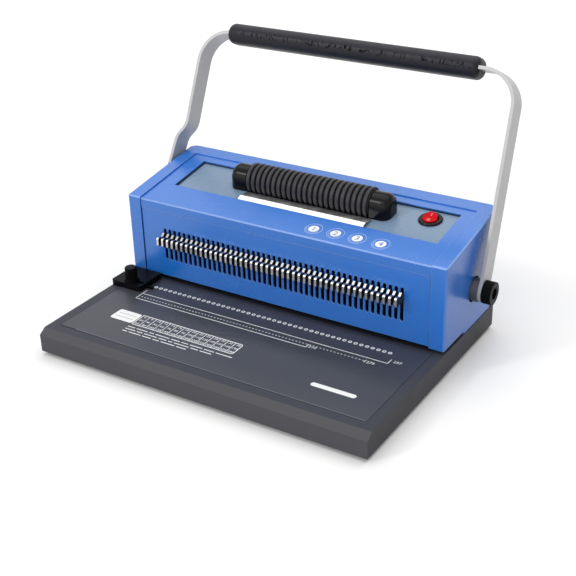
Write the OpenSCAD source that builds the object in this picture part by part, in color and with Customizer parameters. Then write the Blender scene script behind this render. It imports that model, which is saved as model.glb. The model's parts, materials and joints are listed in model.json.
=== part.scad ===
// Coil binding machine: a hand-lever hole punch with an electric coil inserting roller.
// Millimetres, +Z up, the operator stands at -Y. The frame's origin is under the middle of the machine.

/* [Base] */
// base beyond the body on each side
base_side = 0.5; // [0:0.1:20]
// base in front of the body's front face
base_front = 155.7; // [110:0.1:200]
// base behind the body's front face
base_back = 121.8; // [110:0.1:150]
// top of the base above the floor
base_top = 28.2; // [22:0.1:40]
// height of the rubber feet
foot_h = 4; // [3:0.5:8]
// diameter of the rubber feet
foot_d = 18; // [12:1:26]
// foot centre from the base's edges
foot_inset = 17; // [12:1:30]
// pillars inside the base, from its edges
pillar_inset = 26; // [18:1:40]
// sheet thickness of the base pan
base_t = 2; // [1.2:0.1:3]
// depth of the bevel along the front edge
bevel_d = 8.2; // [3:0.1:15]
// rise of that bevel
bevel_h = 5.4; // [2:0.1:10]
// thickness of the printed mat on the base
mat_t = 0.5; // [0.3:0.1:1]
// margin of the mat at the sides
mat_side = 11.5; // [5:0.5:40]
// margin of the mat at the front
mat_margin = 19; // [10:0.1:30]

/* [Body] */
// width over both cheeks
body_w = 379; // [320:1:460]
// depth of the body
body_d = 121; // [100:1:150]
// height of the rim plane at the front face
body_front_h = 121.2; // [95:0.1:140]
// slope of the top, up to the back
top_slope = 8.6; // [0:0.05:15]
// width of each cheek
cheek_w = 16.2; // [10:0.1:25]
// depth of the raised rim at the back
back_rim = 15.5; // [8:0.5:25]
// rim above the top cover
rim_step = 1.5; // [0.5:0.1:4]
// radius of the two back corners
back_r = 10; // [4:0.5:20]
// rounding of the cheeks' front corners
cheek_r = 2.5; // [1:0.1:4]
// wall of the casing
wall = 2.5; // [2:0.1:4]
// height of the paper throat at the cheeks
throat = 3.6; // [3:0.1:6]
// depth of the throat
throat_d = 48; // [36:0.5:60]
// thickness of the top cover
cover_t = 3; // [2:0.1:4]
// height of the cover's front flange
flange_h = 10.5; // [6:0.5:20]
// set-back of the front panel behind the cheeks
panel_set = 1.4; // [0.6:0.1:3]
// thickness of the front panel
panel_t = 2; // [1.5:0.1:3]
// seam between casing parts
seam = 0.15; // [0.1:0.05:0.5]
// gap beside the front panel
panel_gap = 0.9; // [0.3:0.1:1.5]

/* [Window and roller] */
// cover left of the window
win_left = 18.8; // [8:0.1:50]
// cover right of the window
win_right = 12.3; // [8:0.1:50]
// window, front edge along the slope
win_v0 = 38.6; // [30:0.5:50]
// cover left behind the window, along the slope
win_back = 10.5; // [6:0.1:20]
// thickness of the inset panel
inset_t = 2; // [1.5:0.1:3]
// middle of the roller in X
roller_x = 0.4; // [-20:0.1:20]
// length of the ribbed sleeve
sleeve_l = 147.5; // [120:0.5:190]
// radius over the ribs
rib_r = 16.7; // [14:0.1:18]
// depth of the grooves between ribs
rib_depth = 2.6; // [1:0.1:4]
// number of ribs
rib_n = 23; // [12:1:30]
// roller axis behind the front face
roller_y = 73; // [70:0.5:76]
// roller axis above the rim plane
roller_up = 4.6; // [4:0.1:9]
// radius of the end caps
cap_r = 14; // [12:0.1:16]
// length of each end cap
cap_l = 21.5; // [20:0.5:34]
// rounding of the caps' outer ends
cap_round = 9; // [4:0.5:12]
// length of the sheet in front of the roller
plate_l = 150.7; // [120:0.1:190]
// that sheet's middle to the right of the roller's
plate_shift = 3.8; // [-4:0.1:4]
// thickness of the sheet
plate_t = 1; // [0.6:0.1:1.5]
// radius of the belt pulleys
pulley_r = 7; // [5:0.5:9]
// width of the drive belt
belt_w = 5; // [3:0.5:7]
// thickness of the drive belt
belt_t = 1.2; // [0.8:0.1:2]
// motor radius
motor_r = 16; // [12:0.5:17]
// motor length
motor_l = 58; // [40:1:90]

/* [Punch] */
// number of holes
hole_n = 46; // [20:1:60]
// pitch of the holes
pitch = 6.35; // [5:0.05:9]
// punch pin diameter
pin_d = 4; // [3:0.1:5]
// hole row behind the front face
row_y = 30; // [26:0.5:34]
// hole centre to the paper's edge
margin = 5; // [4:0.1:7]
// running clearance of pins and posts, radial
run_fit = 0.05; // [0.03:0.01:0.1]
// stroke of the punch carriage, taken from the lever's swing
swing = 90; // [60:1:95]
// lowest edge of the slots in the front panel
slot_z0 = 53; // [48:0.1:60]
// height of the slots
slot_h = 37; // [28:0.1:40]
// width of the slots
slot_w = 4; // [3:0.1:4.5]
// thickness of the pulls
pull_t = 2.6; // [2:0.1:3]
// pulls in front of the body
pull_out = 13; // [11:0.5:20]
// height of the pulls' tabs
pull_h = 10; // [7:0.1:12]
// pull tab's lower edge above the slot's lower edge
pull_up = 21.4; // [15:0.1:22]
// pulls in the first group
group_a = 33; // [20:1:36]
// pulls up to the end of the second group
group_b = 44; // [38:1:45]

/* [Lever] */
// lever axis behind the front face
pivot_y = 68; // [62:0.5:74]
// lever axis above the floor
pivot_z = 70; // [66:0.5:76]
// lever axis to the middle of the grip
arm_l = 214.3; // [160:0.5:260]
// lean of the lever to the back at rest
lean = 24.6; // [0:0.1:35]
// width of the flat bar
bar_w = 22.5; // [18:0.5:28]
// thickness of the flat bar
bar_t = 3.6; // [3:0.1:8]
// arms outside the body's sides
arm_gap = 7.9; // [6:0.1:16]
// right arm leans in up to its bend
lean_in = 7.5; // [0:0.5:9]
// left arm set in above the body
set_in = 17.8; // [12:0.1:20]
// inner radius of the left arm's two bends
flare_r = 20; // [10:1:40]
// left arm clear of the body's side where it swings past
arm_clear = 0.8; // [0.5:0.1:3]
// outer bend radius of the bar
bend_r = 37; // [25:1:60]
// half length of the grip
grip_half = 149.5; // [110:0.5:165]
// thickness of the grip
grip_t = 22.5; // [20:0.5:30]
// width of the grip
grip_w = 30; // [28:0.5:40]
// rounding of the grip's ends
grip_round = 7; // [3:0.5:10]
// shaft diameter
shaft_d = 12; // [10:0.5:13]
// collar diameter
collar_d = 24; // [20:0.5:25]
// opening in the cheeks for the collar
cheek_hole = 27.5; // [26:0.5:32]
// thumb nut diameter
nut_d = 23.5; // [18:0.5:28]
// thumb nut thickness
nut_t = 10; // [6:0.5:14]
// gear module
gear_m = 1.25; // [1:0.05:1.5]
// teeth of the pinions
gear_z = 14; // [14:1:16]
// play between the teeth
backlash = 0.35; // [0.2:0.05:0.5]

/* [Small parts] */
// switch from the window's right edge
switch_right = 26.5; // [20:0.5:40]
// switch in front of the window's back edge
switch_back = 16.7; // [13:0.1:22]
// switch bezel diameter
bezel_d = 25; // [24:0.5:27]
// tilt of the rocker either way
rock_tilt = 11; // [5:0.5:12]
// length of the edge guide in X
guide_l = 39; // [30:0.5:46]
// front of the edge guide
guide_y0 = -39.5; // [-50:0.5:-30]
// height of the edge guide
guide_h = 6.5; // [5:0.1:9]
// clamping screw from the edge guide's left end
screw_in = 21; // [18:0.5:26]
// clamping screw in Y
screw_y = -30.5; // [-32:0.5:-26]
// how far the edge guide slides
guide_travel = 14; // [6:0.5:14]
// knob diameter
knob_d = 13.4; // [10:0.1:18]
// knob height
knob_h = 16; // [10:0.5:22]
// power inlet from the body's right side
inlet_in = 59.5; // [50:0.5:120]
// power inlet above the floor
inlet_z = 68; // [50:1:90]

/* [Hidden] */
$fn = 64;
half_w = body_w / 2;
pan_w = half_w + base_side;
mat_x = pan_w - mat_side;
in_w = half_w - cheek_w;
cover_w = in_w - seam;
mat_top = base_top + mat_t;
cheek_bottom = base_top + throat;
panel_bottom = cheek_bottom + 1.2;
row_x0 = -(hole_n - 1) * pitch / 2;
gear_r = gear_m * gear_z / 2;
gear_add = 0.8 * gear_m;
gear_ded = gear_add + 0.3;
gear_p = PI * gear_m;
stroke = gear_r * swing * PI / 180;
cover_w0 = -rim_step - cover_t;
inset_w0 = cover_w0 - inset_t;
win_x0 = -in_w + win_left;
win_x1 = in_w - win_right;
win_v1 = (body_d - back_rim) / cos(top_slope) - win_back;
switch_x = win_x1 - switch_right;
switch_v = win_v1 - switch_back;
guide_x0 = -pan_w;
screw_x = guide_x0 + screw_in;
inlet_x = half_w - inlet_in;
body_back_h = body_front_h + body_d * tan(top_slope);
rim_low = body_front_h - 23.2;
roller_rim = body_front_h + roller_y * tan(top_slope);
roller_z = roller_rim + roller_up;
roller_v = roller_y * cos(top_slope) + (roller_z - body_front_h) * sin(top_slope);
roller_over = roller_up * cos(top_slope) - cover_w0;
well_half = sqrt(rib_r * rib_r - roller_over * roller_over) + 1;
motor_z = pivot_z + shaft_d / 2 + motor_r + 4;
far = 600;
guide_plate_z0 = cheek_bottom + 4.2;
guide_plate_h = 10;
pin_low = guide_plate_z0 + 1.5;
bar_z0 = guide_plate_z0 + guide_plate_h + stroke + 0.3;
pull_z0 = slot_z0 + pull_up;
gate_z0 = pull_z0 - 0.3;
gate_z1 = pull_z0 + pull_h + 1.7;
bar_z1 = gate_z1 + 9;
carriage_y0 = row_y - 14;
carriage_y1 = row_y + 6;
frame_x0 = in_w - 5.7;
frame_x1 = in_w - 1.7;
frame_y0 = panel_set + panel_t + 3;
frame_y1 = body_d - back_rim - 0.5;
post_x = frame_x0 - 9;
post_d = 8;
rack_x0 = post_x - 10.5;
rack_x1 = rack_x0 + 7;
rack_y = pivot_y - gear_r;
pinion_over = 1;
arm_x0 = half_w + arm_gap;
arm_x1 = arm_x0 + bar_t;
nut_x0 = arm_x1 + 0.1;
nut_x1 = nut_x0 + nut_t;
stub = 8;
foot_s = 16;
flare_s = sqrt(pow(pivot_y, 2) + pow(body_front_h - pivot_z, 2)) + 0.9;
left_x = arm_x0 - set_in;
low_x = half_w + arm_clear;
run_a = atan((arm_x0 - low_x) / (flare_s - foot_s));
flare_a = acos((flare_r * (1 + cos(run_a)) + bar_t - low_x + left_x) / (2 * flare_r + bar_t));
flare_top = flare_s + (2 * flare_r + bar_t) * sin(flare_a) - flare_r * sin(run_a);
belt_x = roller_x + sleeve_l / 2 + 8;
bracket_x = belt_x - 7.3;
cap_x0 = roller_x - sleeve_l / 2 - 1;
cap_x1 = roller_x + sleeve_l / 2 + 1;
core_r = 10;
axle_r = 4;
bore_r = 8;
end_wall = 5;
die_x = -row_x0 + 15;
die_y0 = row_y - 13;
die_y1 = row_y + 13;
tray_y0 = row_y - 18;
tray_y1 = row_y + 18;
tray_top = base_top - base_t - 7.7;
rock_w = cover_w0 - 0.5;
rock_r = bezel_d / 2 - 4.9;
rock_pin = 1.5;
grip_y_back = pivot_y + arm_l * sin(lean) + grip_t / 2 + (grip_w - grip_t) / 2 * cos(lean);
origin_y = (grip_y_back - base_front) / 2;

// moves a piece from the body's front face to the frame's origin
module place() {
    translate([0, -origin_y, 0])
        children();
}

// rim plane: v runs up the slope, w stands on it
module on_slope() {
    translate([0, 0, body_front_h])
        rotate([top_slope, 0, 0])
            children();
}

// everything above a height w over the rim plane
module above_slope(w) {
    on_slope()
        translate([-far / 2, -far / 2, w])
            cube(far);
}

// lever plane: Z runs along the arms
module on_lever() {
    translate([0, pivot_y, pivot_z])
        rotate([-lean, 0, 0])
            children();
}

// rod along X
module rod_x(r, x0, x1) {
    translate([x0, 0, 0])
        rotate([0, 90, 0])
            cylinder(r = r, h = x1 - x0);
}

// block from corner to corner
module block(a, b) {
    translate(a)
        cube(b - a);
}

// profile in Y and Z, drawn out along X
module along_x(x0, x1) {
    translate([x0, 0, 0])
        rotate([90, 0, 90])
            linear_extrude(x1 - x0)
                children();
}

// rectangle with round corners
module round_rect(x0, y0, x1, y1, r) {
    translate([x0 + r, y0])
        square([x1 - x0 - 2 * r, y1 - y0]);
    translate([x0, y0 + r])
        square([x1 - x0, y1 - y0 - 2 * r]);
    for (x = [x0 + r, x1 - r], y = [y0 + r, y1 - r])
        translate([x, y])
            circle(r);
}

// body outline seen from above, inset by d
module body_plan(d) {
    w = half_w - d;
    r = max(back_r - d, 0.5);
    round_rect(-w, d + 30, w, body_d - d, r);
    round_rect(-w, d, w, 60, 2);
}

// one row of places along the punch
module along_row(i0, i1) {
    for (i = [i0 : i1])
        translate([row_x0 + i * pitch, 0, 0])
            children();
}

// base pan, open below, with pillars for the bottom plate
module base_outline(d) {
    polygon([[-base_front + d, foot_h], [-base_front + d, base_top - bevel_h - d * 0.4],
        [-base_front + bevel_d + d * 0.8, base_top - d], [base_back - d, base_top - d],
        [base_back - d, foot_h]]);
}

module base_shell() {
    color([0.29, 0.3, 0.35])
    place() {
        difference() {
            along_x(-pan_w, pan_w)
                base_outline(0);
            translate([0, 0, -1])
                along_x(-pan_w + base_t, pan_w - base_t)
                    polygon([[-base_front + base_t, 0], [-base_front + base_t, base_top - bevel_h],
                        [-base_front + bevel_d + base_t, base_top - base_t + 1],
                        [base_back - base_t, base_top - base_t + 1], [base_back - base_t, 0]]);
            block([-die_x - 0.2, die_y0 - 0.2, base_top - base_t - 1],
                [die_x + 0.2, die_y1 + 0.2, base_top + 1]);
            block([-pan_w - 1, tray_y0 - 1, foot_h + 1.5], [-pan_w + base_t + 1, tray_y1 + 1, tray_top + 1]);
            translate([screw_x, screw_y, base_top - base_t - 1])
                cylinder(d = 5.2, h = 5);
        }
        for (x = [-1, 1], y = [-base_front + pillar_inset, base_back - pillar_inset])
            translate([x * (pan_w - pillar_inset), y, foot_h + 1.5])
                cylinder(d = 10, h = base_top - base_t - foot_h - 1.2);
    }
}

module base_mat() {
    color([0.3, 0.31, 0.36])
    place()
        difference() {
            block([-mat_x, -base_front + mat_margin, base_top], [mat_x, die_y0 - 0.4, mat_top]);
            translate([screw_x, screw_y, base_top - 1])
                cylinder(d = 5.2, h = 3);
        }
}

module bottom_plate() {
    color([0.2, 0.2, 0.22])
    place()
        block([-pan_w + base_t + 0.2, -base_front + base_t + 0.2, foot_h],
            [pan_w - base_t - 0.2, base_back - base_t - 0.2, foot_h + 1.5]);
}

module rubber_feet() {
    color([0.07, 0.07, 0.07])
    place()
        for (x = [-1, 1], y = [-base_front + foot_inset, base_back - foot_inset])
            translate([x * (pan_w - foot_inset), y, 0]) {
                cylinder(d1 = foot_d - 2, d2 = foot_d, h = 1.2);
                translate([0, 0, 1.2])
                    cylinder(d = foot_d, h = foot_h - 1.2);
            }
}

// punch side, from the base up
module die_plate() {
    color([0.62, 0.63, 0.65])
    place()
        difference() {
            union() {
                block([-die_x, die_y0, base_top - base_t], [die_x, die_y1, mat_top]);
                block([-die_x - 6, die_y0 - 4, tray_top + 1.6], [die_x + 6, die_y1 + 4, base_top - base_t]);
            }
            along_row(0, hole_n - 1)
                translate([0, row_y, tray_top])
                    cylinder(d = pin_d + 2 * run_fit, h = 30);
        }
}

module chip_tray() {
    color([0.13, 0.13, 0.14])
    place() {
        difference() {
            block([-pan_w, tray_y0, foot_h + 2], [die_x, tray_y1, tray_top]);
            block([-pan_w + 2, tray_y0 + 1.5, foot_h + 3.5], [die_x - 1.5, tray_y1 - 1.5, tray_top + 1]);
        }
        block([-pan_w - 2, tray_y0 - 3, foot_h + 1.7], [-pan_w - 0.2, tray_y1 + 3, tray_top + 3]);
        block([-pan_w - 0.3, tray_y0, foot_h + 2], [-pan_w + 0.1, tray_y1, tray_top]);
        block([-pan_w - 6, row_y - 7, foot_h + 5], [-pan_w - 1, row_y + 7, foot_h + 8]);
    }
}

module edge_guide() {
    color([0.06, 0.06, 0.065])
    place() {
        translate([0, 0, mat_top])
            linear_extrude(guide_h)
                difference() {
                    round_rect(guide_x0, guide_y0, guide_x0 + guide_l, -1.2, 2);
                    translate([screw_x, screw_y - 2.6])
                        square([guide_travel, 5.2]);
                    for (d = [0, guide_travel])
                        translate([screw_x + d, screw_y])
                            circle(2.6);
                }
        block([guide_x0 + guide_l - 1, screw_y + 2.5, mat_top],
            [guide_x0 + guide_l + 7.5, screw_y + 5, mat_top + 2.6]);
    }
}

module guide_knob() {
    color([0.05, 0.05, 0.055])
    place()
        translate([screw_x, screw_y, mat_top + guide_h + 0.2]) {
            cylinder(d = knob_d + 2.6, h = 2.8);
            difference() {
                union() {
                    translate([0, 0, 2.8])
                        cylinder(d = knob_d, h = knob_h - 3.8);
                    translate([0, 0, knob_h - 1])
                        cylinder(d1 = knob_d, d2 = knob_d - 2, h = 1);
                }
                for (a = [0 : 18 : 359])
                    rotate(a)
                        translate([knob_d / 2 + 0.25, 0, 2.8])
                            cylinder(r = 0.7, h = knob_h, $fn = 24);
            }
            translate([0, 0, base_top - base_t - 5.2 - mat_top - guide_h - 0.2])
                cylinder(d = 4.5, h = mat_top + guide_h + 5.4 + base_t - base_top);
        }
}

module guide_nut() {
    color([0.7, 0.71, 0.73])
    place()
        translate([screw_x, screw_y, base_top - base_t - 4.4])
            difference() {
                cylinder(d = 9, h = 4.4, $fn = 6);
                translate([0, 0, -1])
                    cylinder(d = 4.5 + 2 * run_fit, h = 7);
            }
}

module paper_stop() {
    color([0.55, 0.56, 0.58])
    place()
        block([-die_x, row_y + margin, mat_top], [die_x, row_y + margin + 5, guide_plate_z0]);
}

module guide_plate() {
    color([0.6, 0.61, 0.63])
    place()
        difference() {
            block([-frame_x0, row_y - 12, guide_plate_z0],
                [frame_x0, row_y + 12, guide_plate_z0 + guide_plate_h]);
            along_row(0, hole_n - 1)
                translate([0, row_y, guide_plate_z0 - 1])
                    cylinder(d = pin_d + 2 * run_fit, h = guide_plate_h + 2);
            for (x = [-post_x, post_x])
                translate([x, row_y - 4, guide_plate_z0 - 1])
                    cylinder(d = post_d, h = guide_plate_h + 2);
        }
}

module guide_posts() {
    color([0.72, 0.73, 0.75])
    place()
        for (x = [-post_x, post_x])
            translate([x, row_y - 4, 0]) {
                translate([0, 0, guide_plate_z0])
                    cylinder(d = post_d, h = bar_z1 - guide_plate_z0 + 1);
                translate([0, 0, bar_z1 + 0.3])
                    cylinder(d = post_d + 5, h = 4.5);
            }
}

// steel frames inside the cheeks carry the shaft
module side_frame() {
    difference() {
        block([frame_x0, frame_y0, base_top], [frame_x1, frame_y1, body_front_h - 7.5]);
        block([frame_x0 - 1, 0, base_top - 1], [frame_x1 + 1, throat_d + 1, guide_plate_z0]);
        translate([0, pivot_y, pivot_z])
            rod_x(11, frame_x0 - 1, frame_x1 + 1);
    }
}

module side_frame_left() {
    color([0.5, 0.51, 0.53])
    place()
        mirror([1, 0, 0])
            side_frame();
}

module side_frame_right() {
    color([0.5, 0.51, 0.53])
    place()
        side_frame();
}

module tie_rods() {
    color([0.66, 0.67, 0.69])
    place() {
        translate([0, frame_y1 - 7, base_top + 20])
            rod_x(5, -frame_x0, frame_x0);
        translate([0, frame_y0 + 4.8, gate_z1 + 12])
            rod_x(4, -frame_x0, frame_x0);
    }
}

module shaft_bush() {
    difference() {
        union() {
            rod_x(11, frame_x0 - 1, frame_x1 + 1);
            rod_x(14, frame_x0 - 2, frame_x0);
        }
        rod_x(shaft_d / 2 + run_fit, frame_x0 - 3, frame_x1 + 2);
    }
}

module shaft_bushes() {
    color([0.72, 0.6, 0.3])
    place()
        translate([0, pivot_y, pivot_z]) {
            shaft_bush();
            mirror([1, 0, 0])
                shaft_bush();
        }
}

// what the rounding takes off the casing's front corner
module corner_cut() {
    z = body_front_h + cheek_r * (tan(top_slope) - 1 / cos(top_slope));
    along_x(-half_w - 1, half_w + 1)
        difference() {
            translate([-1, z])
                square([1 + cheek_r * (1 - sin(top_slope)), 3 * cheek_r]);
            translate([cheek_r, z])
                circle(cheek_r);
        }
}

// casing: two hollow cheeks, the back and the raised rim in one piece
module casing() {
    color([0.19, 0.42, 0.78])
    place()
        difference() {
            union() {
                difference() {
                    translate([0, 0, base_top])
                        linear_extrude(body_back_h + 1 - base_top)
                            body_plan(0);
                    block([-in_w, -5, base_top - 5], [in_w, body_d - back_rim, far]);
                    difference() {
                        for (s = [-1, 1])
                            block([s * (half_w + in_w) / 2 - cheek_w / 2 + wall, wall, 0],
                                [s * (half_w + in_w) / 2 + cheek_w / 2 - wall, body_d - back_rim - 1, far]);
                        above_slope(-wall);
                    }
                    difference() {
                        block([-half_w + back_r + 2, body_d - back_rim + wall, 0],
                            [half_w - back_r - 2, body_d - wall, far]);
                        above_slope(-wall);
                    }
                    block([-in_w - 1, body_d - back_rim - 1, 0],
                        [in_w + 1, body_d - back_rim + wall + 1, rim_low]);
                    above_slope(0);
                }
                for (s = [-1, 1])
                    intersection() {
                        block([s * (in_w - 1.6) - 2.2, 3, base_top],
                            [s * (in_w - 1.6) + 2.2, body_d - back_rim, far]);
                        union() {
                            on_slope()
                                translate([-half_w, 8, cover_w0 - 2.5])
                                    cube([body_w, 2 * body_d, 2.5]);
                            block([-half_w, panel_set + panel_t, panel_bottom + 2],
                                [half_w, panel_set + panel_t + 2.5, body_front_h - flange_h - 6]);
                        }
                    }
            }
            block([-half_w - 1, -1, base_top - 1], [half_w + 1, throat_d, cheek_bottom]);
            corner_cut();
            translate([0, pivot_y, pivot_z])
                rod_x(cheek_hole / 2, -half_w - 1, half_w + 1);
            block([inlet_x - 23.7, body_d - wall - 1, inlet_z - 12.2],
                [inlet_x + 23.7, body_d + 1, inlet_z + 12.2]);
            for (s = [-1, 1])
                on_slope()
                    translate([s * half_w, 0, 0])
                        rotate([0, 45, 0])
                            translate([-0.8, -body_d, -0.8])
                                cube([1.6, 3 * body_d, 1.6]);
        }
}

module front_panel() {
    color([0.17, 0.4, 0.75])
    place()
        difference() {
            block([-in_w + panel_gap, panel_set, panel_bottom],
                [in_w - panel_gap, panel_set + panel_t, body_front_h - rim_step - flange_h - seam]);
            along_row(0, hole_n - 1) {
                block([-slot_w / 2, 0, slot_z0 + slot_w / 2], [slot_w / 2, 9, slot_z0 + slot_h - slot_w / 2]);
                for (z = [slot_z0 + slot_w / 2, slot_z0 + slot_h - slot_w / 2])
                    translate([0, 9, z])
                        rotate([90, 0, 0])
                            cylinder(d = slot_w, h = 9);
            }
        }
}

// top cover with its front flange
module top_cover() {
    color([0.2, 0.45, 0.82])
    place()
        difference() {
            union() {
                intersection() {
                    on_slope()
                        translate([-cover_w, -5, cover_w0])
                            cube([2 * cover_w, body_d + 20, cover_t]);
                    block([-cover_w, panel_set - 0.3, 0], [cover_w, body_d - back_rim - seam, far]);
                }
                difference() {
                    block([-cover_w, panel_set - 0.3, body_front_h - rim_step - flange_h],
                        [cover_w, panel_set + 1.8, body_front_h + 5]);
                    above_slope(-rim_step - 0.5);
                }
            }
            on_slope()
                translate([win_x0, win_v0, -20])
                    cube([win_x1 - win_x0, win_v1 - win_v0, 40]);
            translate([0, panel_set - 0.3, body_front_h - rim_step])
                rotate([45, 0, 0])
                    translate([-half_w, -0.7, -0.7])
                        cube([body_w, 1.4, 1.4]);
        }
}

module inset_panel() {
    color([0.52, 0.6, 0.7])
    place()
        difference() {
            on_slope()
                translate([win_x0 - 4, win_v0 - 4, inset_w0])
                    cube([win_x1 - win_x0 + 8, win_v1 - win_v0 + 8, inset_t]);
            on_slope()
                translate([roller_x - sleeve_l / 2 - 0.6, roller_v - well_half, -20])
                    cube([sleeve_l + 1.2, 2 * well_half, 40]);
            belt_passage();
            on_slope()
                translate([switch_x, switch_v, -20])
                    cylinder(d = bezel_d - 4.5, h = 40);
        }
}

// room for the belt in the inset panel and the right cap
module belt_passage() {
    block([belt_x - belt_w / 2 - 1.7, roller_y - pulley_r - belt_t - 1, motor_z],
        [belt_x + belt_w / 2 + 1.7, roller_y + pulley_r + belt_t + 1, roller_z]);
}

// bent sheet in front of the roller, along which the coil comes in
module plate_outline(d) {
    polygon([[0.2 + d, cover_w0], [0.2 + d, -rim_step - 0.2 - d], [1 + d, -rim_step + 0.4 - d], [5, -0.2 - d],
        [6, -d], [7.2, -0.3 - d], [19.3 - d, -3.4 - d / 2], [19.9 - d, cover_w0]]);
}

module coil_plate() {
    color([0.9, 0.9, 0.9])
    place()
        on_slope()
            translate([roller_x + plate_shift - plate_l / 2, win_v0, 0])
                rotate([90, 0, 90])
                    linear_extrude(plate_l)
                        difference() {
                            plate_outline(0);
                            plate_outline(plate_t);
                        }
}

// roller end caps, fixed on the inset panel: half a revolve on its own outline
module cap_outline() {
    square([cap_r, cap_l - cap_round]);
    square([cap_r - cap_round, cap_l]);
    translate([cap_r - cap_round, cap_l - cap_round])
        circle(cap_round);
}

module cap_shape() {
    difference() {
        translate([0, roller_y, roller_z]) {
            difference() {
                rotate([0, 90, 0])
                    rotate_extrude()
                        intersection() {
                            square([cap_r, cap_l]);
                            cap_outline();
                        }
                block([-1, -2 * cap_r, -2 * cap_r], [cap_l + 1, 2 * cap_r, 0]);
            }
            translate([0, 0, -cap_r])
                linear_extrude(cap_r)
                    rotate(-90) {
                        cap_outline();
                        mirror([1, 0])
                            cap_outline();
                    }
        }
        difference() {
            block([-1, 0, 0], [cap_l + 1, body_d, roller_z]);
            above_slope(cover_w0);
        }
    }
}

module roller_cap_left() {
    color([0.05, 0.05, 0.055])
    place()
        difference() {
            translate([cap_x0, 0, 0])
                mirror([1, 0, 0])
                    cap_shape();
            translate([0, roller_y, roller_z])
                rod_x(bore_r, cap_x0 - cap_l + end_wall, cap_x0 + 1);
        }
}

module roller_cap_right() {
    color([0.05, 0.05, 0.055])
    place()
        difference() {
            translate([cap_x1, 0, 0])
                cap_shape();
            translate([0, roller_y, roller_z])
                rod_x(bore_r, cap_x1 - 1, cap_x1 + cap_l - end_wall);
            belt_passage();
            translate([0, roller_y, roller_z])
                rod_x(pulley_r + belt_t + 0.8, belt_x - belt_w / 2 - 1.7, belt_x + belt_w / 2 + 1.7);
        }
}

module bearing(x0, x1) {
    difference() {
        rod_x(bore_r, x0, x1);
        rod_x(axle_r + run_fit, x0 - 1, x1 + 1);
    }
}

module roller_bearings() {
    color([0.7, 0.71, 0.73])
    place()
        translate([0, roller_y, roller_z]) {
            bearing(cap_x0 - cap_l + end_wall + 0.3, cap_x0 - cap_l + end_wall + 5.3);
            bearing(cap_x1 + cap_l - end_wall - 5.3, cap_x1 + cap_l - end_wall - 0.3);
        }
}

module roller_core() {
    color([0.55, 0.56, 0.58])
    place()
        translate([0, roller_y, roller_z]) {
            rod_x(axle_r, cap_x0 - cap_l + end_wall + 0.5, cap_x1 + cap_l - end_wall - 0.5);
            rod_x(core_r, roller_x - sleeve_l / 2 + 1, roller_x + sleeve_l / 2 - 1);
        }
}

module roller_sleeve() {
    color([0.13, 0.13, 0.14])
    place()
        translate([roller_x - sleeve_l / 2, roller_y, roller_z])
            rotate([0, 90, 0])
                rotate_extrude() {
                    step = sleeve_l / rib_n;
                    rib = step * 0.76;
                    low = rib_r - rib_depth;
                    translate([core_r, 0])
                        square([low - core_r, sleeve_l]);
                    for (i = [0 : rib_n - 1])
                        translate([0, (i + 0.5) * step])
                            polygon([[core_r + 1, -rib / 2], [rib_r - 0.8, -rib / 2], [rib_r, -rib / 2 + 0.8],
                                [rib_r, rib / 2 - 0.8], [rib_r - 0.8, rib / 2], [core_r + 1, rib / 2]]);
                }
}

module pulley(bore) {
    difference() {
        union() {
            rod_x(pulley_r - run_fit, belt_x - belt_w / 2 - 1, belt_x + belt_w / 2 + 1);
            rod_x(pulley_r + belt_t + 0.4, belt_x - belt_w / 2 - 1.2, belt_x - belt_w / 2 - 0.2);
            rod_x(pulley_r + belt_t + 0.4, belt_x + belt_w / 2 + 0.2, belt_x + belt_w / 2 + 1.2);
        }
        rod_x(bore, belt_x - 20, belt_x + 20);
    }
}

module roller_pulley() {
    color([0.15, 0.15, 0.16])
    place()
        translate([0, roller_y, roller_z])
            pulley(axle_r);
}

module belt_loop(r) {
    for (z = [motor_z, roller_z])
        translate([roller_y, z])
            circle(r);
    translate([roller_y - r, motor_z])
        square([2 * r, roller_z - motor_z]);
}

module drive_belt() {
    color([0.08, 0.08, 0.08])
    place()
        along_x(belt_x - belt_w / 2, belt_x + belt_w / 2)
            difference() {
                belt_loop(pulley_r + belt_t);
                belt_loop(pulley_r);
            }
}

// gear motor under the inset panel
module motor() {
    color([0.45, 0.46, 0.48])
    place()
        translate([0, roller_y, motor_z])
            difference() {
                union() {
                    rod_x(motor_r, bracket_x - motor_l, bracket_x);
                    rod_x(motor_r - 6, bracket_x - motor_l - 3, bracket_x - motor_l + 1);
                }
                rod_x(2.5 + run_fit, belt_x - 15, belt_x);
            }
}

module motor_bracket() {
    color([0.6, 0.61, 0.63])
    place()
        difference() {
            union() {
                block([bracket_x, roller_y - motor_r - 2, motor_z - motor_r],
                    [bracket_x + 2, roller_y + motor_r + 2, roller_z]);
                on_slope()
                    translate([bracket_x, roller_v - 24, inset_w0 - 2])
                        cube([16, 44, 2]);
            }
            above_slope(inset_w0);
            belt_passage();
            translate([0, roller_y, motor_z])
                rod_x(5, belt_x - 12, belt_x);
        }
}

module motor_pulley() {
    color([0.15, 0.15, 0.16])
    place()
        translate([0, roller_y, motor_z]) {
            pulley(2.4);
            rod_x(2.5, belt_x - 14, belt_x + belt_w / 2 + 1.2);
        }
}

// round rocker switch
module switch_housing() {
    color([0.05, 0.05, 0.055])
    place()
        on_slope()
            translate([switch_x, switch_v, 0])
                difference() {
                    union() {
                        translate([0, 0, cover_w0])
                            cylinder(d = bezel_d, h = 1.2);
                        translate([0, 0, cover_w0 + 1.2])
                            cylinder(d1 = bezel_d, d2 = bezel_d - 1.8, h = 0.9);
                        translate([0, 0, cover_w0 - 18])
                            cylinder(d = bezel_d - 4.9, h = 18.5);
                    }
                    translate([0, 0, cover_w0 - 7.5])
                        cylinder(r = rock_r + 1, h = 20);
                    translate([0, 0, rock_w])
                        rod_x(rock_pin + 0.3, -rock_r - 1.8, rock_r + 1.8);
                }
}

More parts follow.
